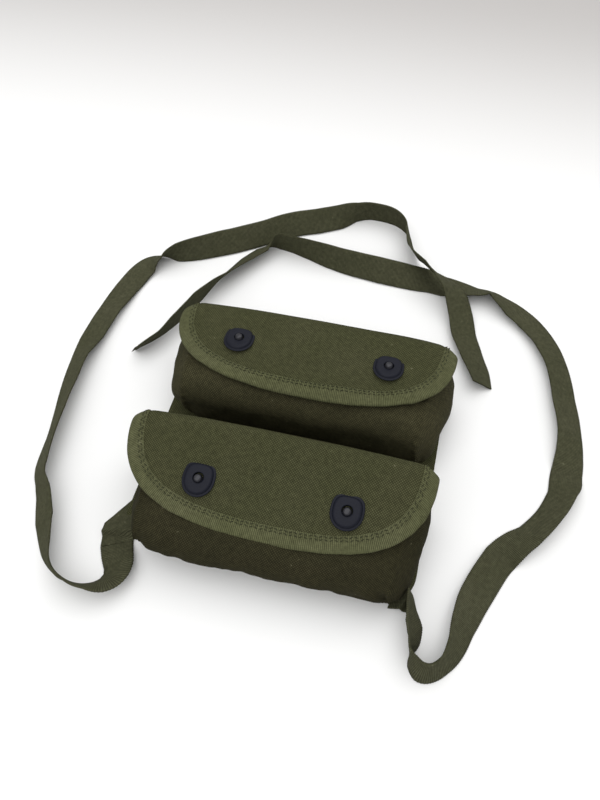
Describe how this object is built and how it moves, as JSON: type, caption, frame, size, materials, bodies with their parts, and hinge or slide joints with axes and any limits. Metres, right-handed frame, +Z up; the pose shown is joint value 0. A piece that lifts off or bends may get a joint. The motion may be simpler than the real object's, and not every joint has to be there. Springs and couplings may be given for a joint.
{
  "type": "two-pocket canvas pouch",
  "caption": "Canvas pouch with stacked flap pockets, snap fasteners, bound flap edges, a belt hook and long tie tapes.",
  "frame": {"origin": "middle of the pouch's box in plan, on the surface that its back panel lies on", "axes": "+Z up off the back panel, +Y towards the top edge and the belt hook, +X across the pouch"},
  "size_m": [0.3473, 0.3382, 0.0522],
  "materials": {
    "canvas": "olive cotton duck, plain weave, slightly faded and lint-specked",
    "pocket_canvas": "darker brown-olive cotton duck",
    "binding": "woven cotton tape with fine cross ribs, lighter olive",
    "tie_tape": "flat olive cotton tape with serrated selvedges",
    "blackened_brass": "blue-black lacquered snap fastener with bright dome",
    "hook_wire": "dark oxidised steel wire"
  },
  "bodies": {
    "root": {"back_panel": "canvas", "lower_pocket_front": "pocket_canvas", "lower_gusset_left": "pocket_canvas", "lower_stud_left": "blackened_brass", "lower_stud_washer_left": "blackened_brass", "lower_gusset_right": "pocket_canvas", "lower_stud_right": "blackened_brass", "lower_stud_washer_right": "blackened_brass", "upper_pocket_front": "pocket_canvas", "upper_gusset_left": "pocket_canvas", "upper_stud_left": "blackened_brass", "upper_stud_washer_left": "blackened_brass", "upper_gusset_right": "pocket_canvas", "upper_stud_right": "blackened_brass", "upper_stud_washer_right": "blackened_brass", "hanger_loop": "binding", "tie_end_left": "tie_tape", "tie_left": "tie_tape", "tie_end_right": "tie_tape", "tie_right": "tie_tape"},
    "lower_flap_top": {"lower_flap_top": "canvas", "lower_flap_top_binding_left": "binding", "lower_flap_top_binding_right": "binding"},
    "lower_flap_front": {"lower_flap_front": "canvas", "lower_flap_binding": "binding", "lower_clinch_plate_left": "blackened_brass", "lower_socket_cap_left": "blackened_brass", "lower_clinch_plate_right": "blackened_brass", "lower_socket_cap_right": "blackened_brass"},
    "upper_flap_top": {"upper_flap_top": "canvas", "upper_flap_top_binding_left": "binding", "upper_flap_top_binding_right": "binding"},
    "upper_flap_front": {"upper_flap_front": "canvas", "upper_flap_binding": "binding", "upper_clinch_plate_left": "blackened_brass", "upper_socket_cap_left": "blackened_brass", "upper_clinch_plate_right": "blackened_brass", "upper_socket_cap_right": "blackened_brass"},
    "hanger": {"wire_hanger": "hook_wire"}
  },
  "joints": [
    {"name": "lower_flap_seam", "type": "hinge", "parent": "root", "child": "lower_flap_top", "pos_m": [0, -0.0218, 0.0012], "axis": [-1, 0, 0], "range_deg": [0, 24]},
    {"name": "lower_flap_fold", "type": "hinge", "parent": "lower_flap_top", "child": "lower_flap_front", "pos_m": [0, -0.0218, 0.0514], "axis": [-1, 0, 0], "range_deg": [0, 120]},
    {"name": "upper_flap_seam", "type": "hinge", "parent": "root", "child": "upper_flap_top", "pos_m": [0, 0.0656, 0.0012], "axis": [-1, 0, 0], "range_deg": [0, 30]},
    {"name": "upper_flap_fold", "type": "hinge", "parent": "upper_flap_top", "child": "upper_flap_front", "pos_m": [0, 0.0656, 0.0444], "axis": [-1, 0, 0], "range_deg": [0, 150]},
    {"name": "hanger_turn", "type": "hinge", "parent": "root", "child": "hanger", "pos_m": [0, 0.0727, 0.002], "axis": [1, 0, 0], "range_deg": [0, 80]}
  ],
  "couplings": [
    {"joint": "lower_flap_seam", "follows": "lower_flap_fold", "ratio": 0.2},
    {"joint": "upper_flap_seam", "follows": "upper_flap_fold", "ratio": 0.2}
  ]
}
